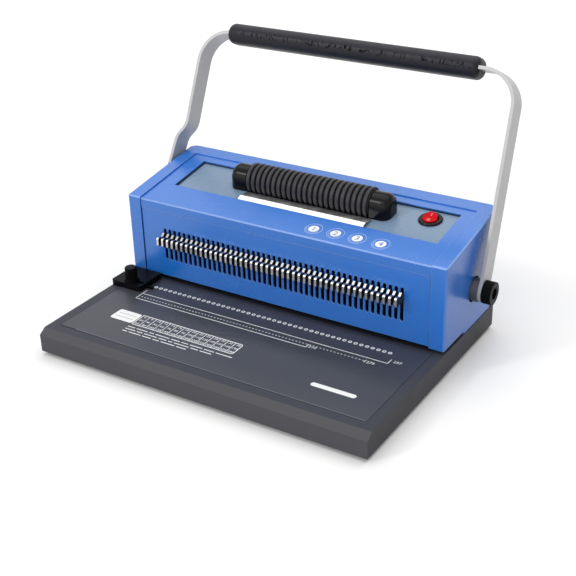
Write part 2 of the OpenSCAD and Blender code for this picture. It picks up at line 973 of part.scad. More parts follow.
module switch_rocker() {
    color([0.8, 0.05, 0.07])
    place()
        on_slope()
            translate([switch_x, switch_v, rock_w])
                rotate([rock_tilt, 0, 0]) {
                    intersection() {
                        translate([0, 0, -6])
                            cylinder(r = rock_r, h = 20);
                        union() {
                            rod_x(4, -rock_r, rock_r);
                            along_x(-rock_r, rock_r)
                                polygon([[-9, -1.5], [9, -1.5], [9, 5.4], [0, 4.1], [-9, 5.4]]);
                        }
                    }
                    rod_x(rock_pin, -rock_r - 1.6, rock_r + 1.6);
                }
}

// mains inlet in the back
module power_inlet() {
    color([0.06, 0.06, 0.065])
    place()
        translate([inlet_x, body_d, inlet_z]) {
            difference() {
                union() {
                    block([-25.5, 0, -14], [25.5, 1.2, 14]);
                    block([-23.5, -20, -12], [23.5, 0.1, 12]);
                }
                block([-12, -16, -8], [12, 2, 8]);
            }
            for (p = [[-7, -2], [0, 2], [7, -2]])
                block([p[0] - 1, -17, p[1] - 2], [p[0] + 1, -8, p[1] + 2]);
        }
}

// punch carriage
module drive_bar() {
    color([0.52, 0.53, 0.55])
    place()
        difference() {
            block([-post_x - 6, carriage_y0, bar_z0], [post_x + 6, carriage_y1, bar_z1]);
            block([row_x0 - 4, carriage_y0 - 1, gate_z0], [-row_x0 + 4, carriage_y1 + 1, gate_z1]);
            for (x = [-post_x, post_x])
                translate([x, row_y - 4, 0])
                    cylinder(d = post_d + 2 * run_fit, h = far);
            along_row(0, hole_n - 1)
                translate([0, row_y, bar_z0 - 1])
                    cylinder(d = pin_d, h = 9);
        }
}

module punch_pins() {
    color([0.75, 0.76, 0.78])
    place()
        along_row(0, hole_n - 1)
            translate([0, row_y, pin_low])
                cylinder(d = pin_d, h = bar_z0 + 8 - pin_low);
}

// rack teeth in Y and Z, a tooth at the lever axis' height
module rack_outline() {
    half = (gear_p / 2 - backlash / 2) / 2;
    lean_t = tan(20);
    translate([carriage_y1, bar_z0 + 1.5])
        square([rack_y - gear_ded - carriage_y1, bar_z1 + 3 - bar_z0]);
    for (k = [-2 : 6])
        translate([rack_y, pivot_z + k * gear_p])
            polygon([[-gear_ded - 0.1, -half - (gear_ded + 0.1) * lean_t],
                [gear_add, -half + gear_add * lean_t], [gear_add, half - gear_add * lean_t],
                [-gear_ded - 0.1, half + (gear_ded + 0.1) * lean_t]]);
}

module rack_left() {
    color([0.6, 0.61, 0.63])
    place()
        along_x(-rack_x1, -rack_x0)
            rack_outline();
}

module rack_right() {
    color([0.6, 0.61, 0.63])
    place()
        along_x(rack_x0, rack_x1)
            rack_outline();
}

// pulls that take single pins out of the row
module pull() {
    back = carriage_y1 - 2;
    along_x(-pull_t / 2, pull_t / 2)
        translate([-pull_out, pull_z0])
            polygon([[0, 1.2], [0, pull_h - 1.4], [1.2, pull_h], [4.5, pull_h], [5.5, pull_h - 1.2],
                [8, pull_h - 1.2], [pull_out - 1.5, pull_h + 1.4], [pull_out + back, pull_h + 1.4],
                [pull_out + back, 0.6], [6, 0.6], [5, 0], [1.2, 0]]);
}

module pulls_first() {
    color([0.8, 0.81, 0.83])
    place()
        along_row(0, group_a - 1)
            pull();
}

module pulls_second() {
    color([0.8, 0.81, 0.83])
    place()
        along_row(group_a, group_b - 1)
            pull();
}

module pulls_last() {
    color([0.8, 0.81, 0.83])
    place()
        along_row(group_b, hole_n - 1)
            pull();
}

// lever
module handle_shaft() {
    color([0.7, 0.71, 0.73])
    place()
        on_lever() {
            rod_x(shaft_d / 2, -arm_x0, arm_x0);
            block([-arm_x1, -stub / 2, -stub / 2], [arm_x1, stub / 2, stub / 2]);
            rod_x(4, -nut_x0 - nut_t + 3.5, nut_x0 + nut_t - 3.5);
        }
}

function inv(a) = tan(a) * 180 / PI - a;
function flank(r) = let(rb = gear_r * cos(20), a = acos(min(1, rb / max(r, rb))))
    (gear_p / 2 - backlash / 2) / 2 / gear_r * 180 / PI + inv(20) - inv(a);
function tooth(c) = let(r0 = gear_r - gear_ded, rb = gear_r * cos(20), r1 = gear_r + gear_add, n = 5)
    concat([polar(r0, c - flank(rb))],
        [for (i = [0 : n]) polar(rb + (r1 - rb) * i / n, c - flank(rb + (r1 - rb) * i / n))],
        [for (i = [n : -1 : 0]) polar(rb + (r1 - rb) * i / n, c + flank(rb + (r1 - rb) * i / n))],
        [polar(r0, c + flank(rb))]);
function polar(r, a) = [r * cos(a), r * sin(a)];

// pinion with a gap towards the rack
module pinion() {
    translate([0, pivot_y, pivot_z])
        difference() {
            along_x(rack_x0 - pinion_over, rack_x1 + pinion_over)
                polygon([for (k = [0 : gear_z - 1]) each tooth(180 + (k + 0.5) * 360 / gear_z)]);
            rod_x(shaft_d / 2, 0, far);
        }
}

module pinion_left() {
    color([0.6, 0.6, 0.6])
    place()
        mirror([1, 0, 0])
            pinion();
}

module pinion_right() {
    color([0.6, 0.6, 0.6])
    place()
        pinion();
}

module shaft_collar() {
    difference() {
        rod_x(collar_d / 2, in_w + 1, arm_x0);
        rod_x(shaft_d / 2, in_w, arm_x0 + 1);
    }
}

module shaft_collars() {
    color([0.6, 0.61, 0.62])
    place()
        on_lever() {
            shaft_collar();
            mirror([1, 0, 0])
                shaft_collar();
        }
}

// quarter of a ring at the end of an arm
module bend(x, straight_top) {
    translate([x + bar_t - bend_r, straight_top])
        intersection() {
            difference() {
                circle(bend_r);
                circle(bend_r - bar_t);
            }
            square(bend_r + 1);
        }
}

// points along an arc of nine steps, up to the last one asked for
function arc(c, r, a0, a1, last = 9) = [for (i = [0 : last]) c + polar(r, a0 + (a1 - a0) * i / 9)];

// flat bar bent to a U, drawn in X and Z
module right_arm(straight_top) {
    x = arm_x0 - lean_in;
    bend(x, straight_top);
    polygon([[x, straight_top], [arm_x0, foot_s], [arm_x0, 0], [arm_x1, 0], [arm_x1, foot_s],
        [x + bar_t, straight_top]]);
}

// left arm, drawn to the right: set in above the body, flared out beside it
module left_arm(straight_top) {
    c1 = [left_x + bar_t + flare_r, flare_top];
    c2 = c1 - polar(2 * flare_r + bar_t, flare_a);
    bend(left_x, straight_top);
    polygon(concat([[left_x, straight_top]],
        arc(c1, flare_r + bar_t, 180, 180 + flare_a, 8),
        arc(c2, flare_r, flare_a, run_a),
        [[arm_x0, foot_s], [arm_x0, 0], [arm_x1, 0], [arm_x1, foot_s]],
        arc(c2, flare_r + bar_t, run_a, flare_a, 8),
        arc(c1, flare_r, 180 + flare_a, 180),
        [[left_x + bar_t, straight_top]]));
}

module bar_outline() {
    straight_top = arm_l + bar_t / 2 - bend_r;
    right_arm(straight_top);
    mirror([1, 0])
        left_arm(straight_top);
    translate([bend_r - bar_t - left_x, straight_top + bend_r - bar_t])
        square([left_x + arm_x0 - lean_in + 2 * bar_t - 2 * bend_r, bar_t]);
}

module handle_bar() {
    color([0.75, 0.75, 0.76])
    place()
        on_lever()
            difference() {
                union() {
                    rotate([90, 0, 0])
                        linear_extrude(bar_w, center = true)
                            bar_outline();
                    rod_x(bar_w / 2, arm_x0, arm_x1);
                    rod_x(bar_w / 2, -arm_x1, -arm_x0);
                }
                block([-arm_x1 - 1, -stub / 2, -stub / 2], [arm_x1 + 1, stub / 2, stub / 2]);
            }
}

module grip_side() {
    rotate([0, 90, 0])
        rotate_extrude()
            intersection() {
                translate([0, -grip_half])
                    square([grip_t / 2, 2 * grip_half]);
                round_rect(-grip_t / 2, -grip_half, grip_t / 2, grip_half, grip_round);
            }
}

module handle_grip() {
    color([0.13, 0.13, 0.145])
    place()
        on_lever()
            translate([0, 0, arm_l])
                difference() {
                    union() {
                        for (s = [-1, 1])
                            translate([0, s * (grip_w - grip_t) / 2, 0])
                                grip_side();
                        rotate([90, 0, 0])
                            linear_extrude(grip_w - grip_t, center = true)
                                round_rect(-grip_half, -grip_t / 2, grip_half, grip_t / 2, grip_round);
                    }
                    block([-grip_half - 1, -bar_w / 2, -bar_t / 2], [grip_half + 1, bar_w / 2, bar_t / 2]);
                }
}

module thumb_nut() {
    difference() {
        rod_x(nut_d / 2, nut_x0, nut_x1);
        rod_x(4, nut_x0 - 1, nut_x1 + 1);
        rod_x(6, nut_x1 - 3.5, nut_x1 + 1);
        for (a = [0 : 15 : 359])
            rotate([a, 0, 0])
                translate([0, nut_d / 2 + 0.35, 0])
                    rod_x(1, nut_x0 + 1, nut_x1 + 1, $fn = 24);
    }
}

module thumb_nuts() {
    color([0.06, 0.06, 0.065])
    place()
        on_lever() {
            thumb_nut();
            mirror([1, 0, 0])
                thumb_nut();
        }
}

base_shell();
base_mat();
bottom_plate();
rubber_feet();
die_plate();
chip_tray();
edge_guide();
guide_knob();
guide_nut();
paper_stop();
guide_plate();
guide_posts();
side_frame_left();
side_frame_right();
tie_rods();
shaft_bushes();
casing();
front_panel();
top_cover();
inset_panel();
coil_plate();
roller_cap_left();
roller_cap_right();
roller_bearings();
roller_core();
roller_sleeve();
roller_pulley();
drive_belt();
motor();
motor_bracket();
motor_pulley();
switch_housing();
switch_rocker();
power_inlet();
drive_bar();
punch_pins();
rack_left();
rack_right();
pulls_first();
pulls_second();
pulls_last();
handle_shaft();
pinion_left();
pinion_right();
shaft_collars();
handle_bar();
handle_grip();
thumb_nuts();
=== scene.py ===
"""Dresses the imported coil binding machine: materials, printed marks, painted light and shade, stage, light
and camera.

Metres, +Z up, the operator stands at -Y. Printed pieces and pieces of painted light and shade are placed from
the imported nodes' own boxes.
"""
import json
import math

import bmesh
import bpy
from mathutils import Matrix, Vector


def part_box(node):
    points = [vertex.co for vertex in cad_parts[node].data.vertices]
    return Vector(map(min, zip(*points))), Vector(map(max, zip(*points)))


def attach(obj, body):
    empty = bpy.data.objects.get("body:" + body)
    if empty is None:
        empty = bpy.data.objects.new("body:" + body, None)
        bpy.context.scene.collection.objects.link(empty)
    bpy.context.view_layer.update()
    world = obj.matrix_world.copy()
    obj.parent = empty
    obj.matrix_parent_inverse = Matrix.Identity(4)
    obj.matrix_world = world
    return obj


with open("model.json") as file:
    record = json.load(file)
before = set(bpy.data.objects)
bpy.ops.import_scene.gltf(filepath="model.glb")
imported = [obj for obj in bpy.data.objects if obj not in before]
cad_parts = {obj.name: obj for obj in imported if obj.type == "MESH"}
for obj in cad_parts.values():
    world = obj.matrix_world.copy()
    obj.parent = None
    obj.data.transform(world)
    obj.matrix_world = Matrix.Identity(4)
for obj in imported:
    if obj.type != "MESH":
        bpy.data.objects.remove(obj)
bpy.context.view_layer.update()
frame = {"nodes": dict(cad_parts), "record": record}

MM = 0.001

# planes that carry prints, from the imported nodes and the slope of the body's top
FRONT_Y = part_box("casing")[0].y
MAT_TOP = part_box("base_mat")[1].z
TOP_SLOPE = math.radians(8.6)
RIM_FRONT_Z = 121.2 * MM
COVER_DROP = -1.5 * MM
MAT_PLANE = Matrix.Translation((0, FRONT_Y, MAT_TOP))
RIM_PLANE = Matrix.Translation((0, FRONT_Y, RIM_FRONT_Z)) @ Matrix.Rotation(TOP_SLOPE, 4, "X")
COVER_PLANE = RIM_PLANE @ Matrix.Translation((0, 0, COVER_DROP))


# Materials

# noise stretched to fine lines along an axis
ALONG_X = (0.03, 1, 1)
ALONG_Z = (1, 1, 0.05)


class Surface:
    """A Principled material that is built up node by node, in the row frame's metres."""

    def __init__(self, name, colour, roughness, **sockets):
        self.material = bpy.data.materials.new(name)
        self.material.use_nodes = True
        self.tree = self.material.node_tree
        self.shader = self.tree.nodes["Principled BSDF"]
        self.colour = (*colour, 1)
        self.shader.inputs["Base Color"].default_value = self.colour
        self.shader.inputs["Roughness"].default_value = roughness
        self.roughness = roughness
        self.normal = None
        for socket, value in sockets.items():
            self.shader.inputs[socket.replace("_", " ")].default_value = value
        self.place = self.add("ShaderNodeTexCoord").outputs["Object"]

    def add(self, kind, **settings):
        node = self.tree.nodes.new(kind)
        for key, value in settings.items():
            setattr(node, key, value)
        return node

    def join(self, a, b):
        self.tree.links.new(a, b)

    def feed(self, value, socket):
        """Lets a value set one of the shader's inputs."""
        self.join(value, self.shader.inputs[socket])

    def noise(self, scale, detail=2.0, stretch=(1, 1, 1)):
        """Noise whose grains are about 1 / scale metres across."""
        mapping = self.add("ShaderNodeMapping")
        mapping.inputs["Scale"].default_value = stretch
        self.join(self.place, mapping.inputs["Vector"])
        node = self.add("ShaderNodeTexNoise")
        node.inputs["Scale"].default_value = scale
        node.inputs["Detail"].default_value = detail
        self.join(mapping.outputs["Vector"], node.inputs["Vector"])
        return node.outputs["Fac"]

    def spread(self, value, low, high, start=0.3, end=0.7):
        """Value from start to end, mapped to low to high."""
        node = self.add("ShaderNodeMapRange")
        for socket, number in zip(("From Min", "From Max", "To Min", "To Max"), (start, end, low, high)):
            node.inputs[socket].default_value = number
        self.join(value, node.inputs["Value"])
        return node.outputs["Result"]

    def tint(self, fac, colour):
        """Mixes another colour into the base colour."""
        node = self.add("ShaderNodeMix", data_type="RGBA")
        socket = self.shader.inputs["Base Color"]
        before = socket.links[0].from_socket if socket.links else None
        self.join(fac, node.inputs["Factor"])
        if before:
            self.join(before, node.inputs["A"])
        else:
            node.inputs["A"].default_value = self.colour
        node.inputs["B"].default_value = (*colour, 1)
        self.join(node.outputs["Result"], socket)
        return self

    def mottle(self, scale, share, stretch=(1, 1, 1)):
        """Slow drift of the colour, by a share of it."""
        drift = self.spread(self.noise(scale, 3.0, stretch), 0.0, 1.0)
        return self.tint(drift, [c * (1 - share) for c in self.colour[:3]])

    def rub(self, scale, share, stretch=(1, 1, 1)):
        """Roughness that drifts by a share of itself."""
        low, high = self.roughness * (1 - share), min(1.0, self.roughness * (1 + share))
        self.feed(self.spread(self.noise(scale, 4.0, stretch), low, high), "Roughness")
        return self

    def round_edges(self, radius):
        """Edges catch light as if rounded."""
        node = self.add("ShaderNodeBevel", samples=6)
        node.inputs["Radius"].default_value = radius
        self.normal = node.outputs["Normal"]
        self.feed(self.normal, "Normal")
        return self

    def wear(self, radius, colour, share):
        """Edges are lighter: a painted highlight on paint and enamel, dust on rubber."""
        bevel = self.add("ShaderNodeBevel", samples=6)
        bevel.inputs["Radius"].default_value = radius
        plain = self.add("ShaderNodeNewGeometry").outputs["Normal"]
        dot = self.add("ShaderNodeVectorMath", operation="DOT_PRODUCT")
        self.join(bevel.outputs["Normal"], dot.inputs[0])
        self.join(plain, dot.inputs[1])
        return self.tint(self.spread(dot.outputs["Value"], share, 0.0, 0.75, 0.98), colour)

    def facing(self, axis):
        """How far the surface looks along an axis, to either side, from 0 to 1."""
        split = self.add("ShaderNodeSeparateXYZ")
        self.join(self.add("ShaderNodeNewGeometry").outputs["Normal"], split.inputs["Vector"])
        size = self.add("ShaderNodeMath", operation="ABSOLUTE")
        self.join(split.outputs[axis], size.inputs[0])
        return size.outputs["Value"]

    def near(self, value, middle, reach):
        """1 where a value lies near a middle, and 0 elsewhere."""
        node = self.add("ShaderNodeMath", operation="COMPARE")
        self.join(value, node.inputs[0])
        node.inputs[1].default_value, node.inputs[2].default_value = middle, reach
        return node.outputs["Value"]

    def creases(self, middle, reach, scale, gloss):
        """A row of short dull folds, pressed in and painted darker as shade, where the surface looks within a
        reach of one direction.

        The reach is an angle in radians, and the gloss is what the surface has beside the folds.
        """
        step, fold_width = 0.1, 0.035
        looks = self.add("ShaderNodeVectorMath", operation="DOT_PRODUCT")
        self.join(self.add("ShaderNodeTexCoord").outputs["Normal"], looks.inputs[0])
        looks.inputs[1].default_value = middle
        row = self.spread(looks.outputs["Value"], 0.0, 1.0, math.cos(1.5 * reach), math.cos(0.5 * reach))
        contours = self.add("ShaderNodeMath", operation="PINGPONG")
        contours.inputs[1].default_value = step
        self.join(self.noise(scale, 1.0, (1, 0.6, 0.6)), contours.inputs[0])
        both = self.add("ShaderNodeMath", operation="MULTIPLY")
        self.join(self.spread(contours.outputs["Value"], 1.0, 0.0, 0.0, fold_width), both.inputs[0])
        self.join(row, both.inputs[1])
        folds = both.outputs["Value"]
        # Painted shade in the folds.
        self.tint(folds, (0.001, 0.001, 0.002))
        self.feed(self.spread(folds, gloss, 0.0, 0.0, 1.0), "Specular IOR Level")
        return self.bump(folds, -0.3, 0.4 * MM)

    def bump(self, height, strength, depth):
        """Relief, laid over the relief that is there."""
        node = self.add("ShaderNodeBump")
        node.inputs["Strength"].default_value = strength
        node.inputs["Distance"].default_value = depth
        self.join(height, node.inputs["Height"])
        if self.normal:
            self.join(self.normal, node.inputs["Normal"])
        self.normal = node.outputs["Normal"]
        self.feed(self.normal, "Normal")
        return self

    def grain(self, scale, strength, depth, detail=2.0, stretch=(1, 1, 1)):
        """Relief of noise."""
        return self.bump(self.noise(scale, detail, stretch), strength, depth)

    def cells(self, scale, strength, depth):
        """Leather-like cells pressed into the surface."""
        node = self.add("ShaderNodeTexVoronoi", feature="SMOOTH_F1")
        node.inputs["Scale"].default_value = scale
        self.join(self.place, node.inputs["Vector"])
        return self.bump(node.outputs["Distance"], strength, depth)


def painted(name, colour, roughness, gloss, edge, radius, coat=0.0):
    """Baked paint on sheet metal: a fine orange peel, and a painted highlight along the edges."""
    paint = Surface(name, colour, roughness, Specular_IOR_Level=gloss, Coat_Weight=coat, Coat_Roughness=0.3)
    paint.mottle(14, 0.05).rub(30, 0.1).round_edges(radius)
    # Painted highlight: the edges get the lighter edge colour.
    paint.wear(1.2 * radius, edge, 0.65)
    return paint.grain(900, 0.004, 0.1 * MM)


def moulded(name, colour, roughness, gloss, texture=3000, strength=0.06):
    """Moulded plastic with a fine spark texture."""
    plastic = Surface(name, colour, roughness, Specular_IOR_Level=gloss)
    plastic.mottle(40, 0.12).rub(90, 0.18).round_edges(0.6 * MM)
    return plastic.grain(texture, strength, 0.1 * MM)


def metal(name, colour, roughness, stretch, strength):
    """Bare metal with the fine lines of its grinding."""
    bare = Surface(name, colour, roughness, Metallic=1.0)
    bare.mottle(60, 0.12).rub(700, 0.3, stretch).round_edges(0.3 * MM)
    return bare.grain(1500, strength, 0.05 * MM, 3.0, stretch)


def rubber(name, colour, roughness, gloss, scale):
    """Rubber with a dusty bloom and a fine pitted skin."""
    skin = Surface(name, colour, roughness, Specular_IOR_Level=gloss)
    skin.mottle(70, 0.25).rub(150, 0.12).round_edges(0.4 * MM)
    skin.wear(0.5 * MM, [min(1, c * 2.4) for c in colour], 0.5)
    return skin.grain(scale, 0.25, 0.15 * MM, 4.0)


def blanked(name, edge, shaded_face):
    """Blanked sheet steel: bright sheared edges, with painted shade on the faces that look to +X and -X."""
    sheet = Surface(name, edge, 0.2, Metallic=1.0)
    across = sheet.facing("X")
    sheet.mottle(300, 0.1)
    # Painted shade: the faces that look along X are darkened and made rougher.
    sheet.tint(sheet.spread(across, 0.0, 1.0, 0.6, 0.9), shaded_face)
    sheet.feed(sheet.spread(across, 0.2, 0.55, 0.6, 0.9), "Roughness")
    return sheet.round_edges(0.35 * MM).grain(1800, 0.06, 0.05 * MM, 3.0, ALONG_Z)


def foam_grip():
    """Foam with painted shade on its ends, leather-like cells and a row of folds along its front."""
    gloss = 0.26
    foam = rubber("foam_grip", (0.009, 0.009, 0.016), 0.42, gloss, 1200)
    # Painted shade on the ends, which look along X.
    foam.tint(foam.spread(foam.facing("X"), 0.0, 1.0, 0.5, 0.9), (0.002, 0.002, 0.003))
    foam.cells(420, 0.35, 0.35 * MM)
    return foam.creases((0, -0.91, 0.42), 0.22, 120, gloss)


def ribbed_rubber():
    """Rubber with painted shade on the flanks of its ribs."""
    ribs = rubber("ribbed_rubber", (0.036, 0.035, 0.041), 0.46, 0.28, 2400)
    # Painted shade on the rib flanks, which look along X.
    return ribs.tint(ribs.spread(ribs.facing("X"), 0.0, 0.95, 0.2, 0.7), (0.003, 0.003, 0.004))


def inset_film():
    film = Surface("inset_film", (0.19, 0.285, 0.41), 0.28)
    return film.mottle(9, 0.03).rub(60, 0.1).grain(2200, 0.012, 0.1 * MM)


def polished_sheet():
    sheet = Surface("polished_sheet", (0.8, 0.8, 0.79), 0.36, Metallic=1.0)
    sheet.mottle(50, 0.03).rub(80, 0.2).round_edges(0.4 * MM)
    return sheet.grain(1600, 0.03, 0.03 * MM, 3.0, ALONG_X)


def red_rocker():
    red = Surface("red_rocker", (0.64, 0.004, 0.01), 0.24, Specular_IOR_Level=0.04)
    return red.mottle(200, 0.15).rub(400, 0.2).round_edges(0.5 * MM)


def silver_enamel():
    silver = Surface("silver_enamel", (0.46, 0.456, 0.458), 0.33, Metallic=0.15)
    silver.mottle(25, 0.05).rub(120, 0.15).round_edges(0.7 * MM)
    # Painted highlight: the edges get a lighter grey.
    return silver.wear(0.5 * MM, (0.75, 0.75, 0.75), 0.5).grain(4000, 0.05, 0.05 * MM)


def mat_film():
    film = Surface("mat_film", (0.042, 0.045, 0.058), 0.38, Specular_IOR_Level=0.42)
    return film.mottle(7, 0.08).rub(40, 0.15).round_edges(0.3 * MM).grain(1800, 0.05, 0.1 * MM)


def base_powder():
    """Grey powder paint, with painted shade on the level top and on the sides."""
    powder = painted("base_powder", (0.082, 0.082, 0.092), 0.5, 0.12, (0.2, 0.2, 0.215), 0.6 * MM)
    # Painted shade on the level top, in a bluer grey.
    powder.tint(powder.spread(powder.facing("Z"), 0.0, 1.0, 0.96, 0.995), (0.052, 0.054, 0.068))
    # Painted shade on the sides that look along X.
    return powder.tint(powder.spread(powder.facing("X"), 0.0, 0.6, 0.9, 0.99), (0.04, 0.04, 0.046))


def dark_powder():
    return painted("dark_powder", (0.008, 0.008, 0.009), 0.55, 0.2, (0.03, 0.03, 0.033), 0.5 * MM)


def blue_enamel():
    """Blue paint: a painted highlight where it turns over rounded edges, and painted shade on the sides,
    which are also duller.
    """
    gloss, side_gloss = 0.75, 0.6
    coat, side_coat = 0.24, 0.1
    # Colours of a painted highlight on rounded edges and of painted shade on the sides.
    light, side_shade = (0.36, 0.54, 0.95), (0.006, 0.08, 0.38)
    blue = painted("blue_enamel", (0.014, 0.165, 0.62), 0.26, gloss, light, 0.8 * MM, coat)
    # Painted highlight where the surface turns over a rounded edge, between level and upright.
    turned = blue.near(blue.facing("Z"), 0.62, 0.24)
    blue.tint(blue.spread(turned, 0.0, 0.5, 0.0, 1.0), light)
    # Painted shade on the sides that look along X, which also get less coat and gloss.
    sides = blue.spread(blue.facing("X"), 0.0, 1.0, 0.9, 0.99)
    blue.tint(blue.spread(sides, 0.0, 0.4, 0.0, 1.0), side_shade)
    blue.feed(blue.spread(sides, coat, side_coat, 0.0, 1.0), "Coat Weight")
    blue.feed(blue.spread(sides, gloss, side_gloss, 0.0, 1.0), "Specular IOR Level")
    return blue


def dull_collar():
    dull = Surface("dull_collar", (0.11, 0.11, 0.118), 0.4, Metallic=0.5)
    return dull.mottle(60, 0.08).rub(300, 0.2).round_edges(0.4 * MM).grain(2500, 0.06, 0.05 * MM)


def make_materials():
    """The material of each slot in the record."""
    made = {
        "base_paint": base_powder(),
        "base_print": mat_film(),
        "dark_sheet": dark_powder(),
        "blue_paint": blue_enamel(),
        "inset_face": inset_film(),
        "bright_sheet": polished_sheet(),
        "black_gloss": moulded("black_cap", (0.003, 0.003, 0.004), 0.21, 0.17, 1500, 0.01),
        "black_matte": moulded("black_plastic", (0.004, 0.004, 0.005), 0.36, 0.06),
        "rubber_black": ribbed_rubber(),
        "grip_rubber": foam_grip(),
        "red_plastic": red_rocker(),
        "bar_silver": silver_enamel(),
        "steel": metal("ground_steel", (0.46, 0.47, 0.48), 0.34, ALONG_X, 0.1),
        "bright_steel": blanked("blanked_steel", (0.66, 0.66, 0.67), (0.07, 0.07, 0.074)),
        "bush_brass": metal("sintered_bronze", (0.5, 0.36, 0.16), 0.4, (1, 1, 1), 0.1),
    }
    return {slot: surface.material for slot, surface in made.items()}


def own_finishes():
    """Finishes of single nodes that differ from their slot's: oiled steel inside, duller collars."""
    oiled = metal("oiled_steel", (0.06, 0.06, 0.063), 0.5, ALONG_Z, 0.1).material
    finishes = {"shaft_collars": dull_collar().material}
    for name in ("punch_pins", "guide_plate", "guide_posts", "paper_stop", "rack_left", "rack_right"):
        finishes[name] = oiled
    return finishes


materials = make_materials()
finishes = own_finishes()
for part in frame["record"]["subparts"]:
    node = frame["nodes"][part["node"]]
    for place in node.material_slots:
        place.material = finishes.get(part["node"], materials[part["material_slot"]])


# Prints, and flat pieces of painted light and shade


def ink(name, colour, roughness):
    """Screen-printed colour, a little uneven; also the flat colours of a painted highlight and of painted
    shade.
    """
    paste = Surface(name, colour, roughness)
    paste.mottle(900, 0.12).rub(500, 0.2).grain(3000, 0.1, 0.05 * MM)
    return paste.material


WHITE_INK = ink("white_ink", (0.9, 0.9, 0.89), 0.5)
# Grey print for rules, and the painted highlight along the mat's front edge.
GREY_INK_AND_HIGHLIGHT = ink("grey_ink_and_highlight", (0.17, 0.17, 0.18), 0.5)
BLUE_INK = ink("blue_ink", (0.03, 0.15, 0.52), 0.45)
PALE_INK = ink("pale_ink", (0.33, 0.45, 0.78), 0.45)
ROSE_INK = ink("rose_ink", (0.8, 0.36, 0.35), 0.5)
# Flat black of painted shade: the mat's left edge, the paper throat and the foot of the window's walls.
SHADE_BLACK = ink("shade_black", (0.004, 0.006, 0.012), 0.6)


class Print:
    """Flat printed shapes, and flat pieces of painted highlight and shade, on a plane, gathered in one thin
    mesh. Sizes in millimetres.
    """

    SINK = 0.02
    RISE = 0.06
    NUMERAL_HEIGHT = 0.72

    def __init__(self, name, plane, material, level=0.0):
        self.name, self.plane, self.material = name, plane, material
        self.low, self.high = level - self.SINK, level + self.RISE
        self.mesh = bmesh.new()

    def loop(self, points, z):
        """An outline's corners at a height."""
        return [self.mesh.verts.new((x, y, z)) for x, y in points]

    def walls(self, low, high):
        """Faces between a lower and an upper loop."""
        count = len(low)
        for i in range(count):
            j = (i + 1) % count
            self.mesh.faces.new((low[i], low[j], high[j], high[i]))

    def area(self, points):
        """A filled outline, given counter-clockwise."""
        low, high = self.loop(points, self.low), self.loop(points, self.high)
        self.mesh.faces.new(high)
        self.mesh.faces.new(low[::-1])
        self.walls(low, high)

    def band(self, outer, inner):
        """The strip between two outlines of as many points, both counter-clockwise."""
        rings = [[self.loop(points, z) for z in (self.low, self.high)] for points in (outer, inner)]
        (out_low, out_high), (in_low, in_high) = rings
        count = len(out_low)
        for i in range(count):
            j = (i + 1) % count
            self.mesh.faces.new((out_high[i], out_high[j], in_high[j], in_high[i]))
            self.mesh.faces.new((in_low[i], in_low[j], out_low[j], out_low[i]))
        self.walls(out_low, out_high)
        self.walls(in_low[::-1], in_high[::-1])

    def line(self, a, b, width):
        start, end = Vector(a), Vector(b)
        side = (end - start).normalized().orthogonal() * (width / 2)
        self.area([start - side, end - side, end + side, start + side])

    def disc(self, centre, radius):
        self.area(circle(centre, radius))

    def ring(self, centre, outer, inner):
        self.band(circle(centre, outer), circle(centre, inner))

    def number(self, value, centre, height):
        """A number, in the middle of a place."""
        curve = bpy.data.curves.new("numeral", "FONT")
        curve.body, curve.size, curve.resolution_u = str(value), height / self.NUMERAL_HEIGHT, 2
        curve.align_x, curve.align_y = "CENTER", "CENTER"
        curve.extrude = (self.high - self.low) / 2
        shown = bpy.data.objects.new("numeral", curve)
        flat = bpy.data.meshes.new_from_object(shown)
        flat.transform(Matrix.Translation((*centre, (self.high + self.low) / 2)))
        self.mesh.from_mesh(flat)
        bpy.data.objects.remove(shown)
        bpy.data.curves.remove(curve)
        bpy.data.meshes.remove(flat)

    def done(self, body="machine", slot="base_print"):
        """Makes the piece, and lets it ride on a body."""
        bmesh.ops.remove_doubles(self.mesh, verts=self.mesh.verts, dist=1e-5)
        bmesh.ops.recalc_face_normals(self.mesh, faces=self.mesh.faces)
        data = bpy.data.meshes.new(self.name)
        self.mesh.to_mesh(data)
        self.mesh.free()
        data.transform(self.plane @ Matrix.Scale(MM, 4))
        data.materials.append(self.material)
        piece = bpy.data.objects.new(self.name, data)
        bpy.context.scene.collection.objects.link(piece)
        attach(piece, body)
        return piece


def arc(centre, radius, start, end, count):
    """Points on an arc, angles in degrees."""
    angles = [math.radians(start + (end - start) * i / count) for i in range(count + 1)]
    return [(centre[0] + radius * math.cos(a), centre[1] + radius * math.sin(a)) for a in angles]


def circle(centre, radius):
    return arc(centre, radius, 0, 360, 32)[:-1]


def corners(x0, y0, x1, y1):
    """Rectangle, from the lower left, counter-clockwise."""
    return [(x0, y0), (x1, y0), (x1, y1), (x0, y1)]


def rounded(x0, y0, x1, y1, radii, count=6):
    """Rectangle with a radius at each corner, from the lower left, counter-clockwise."""
    turns = ((x0, y0, 1, 1, 180), (x1, y0, -1, 1, 270), (x1, y1, -1, -1, 0), (x0, y1, 1, -1, 90))
    points = []
    for (x, y, sx, sy, start), r in zip(turns, radii):
        points += arc((x + sx * r, y + sy * r), r, start, start + 90, count)
    return points


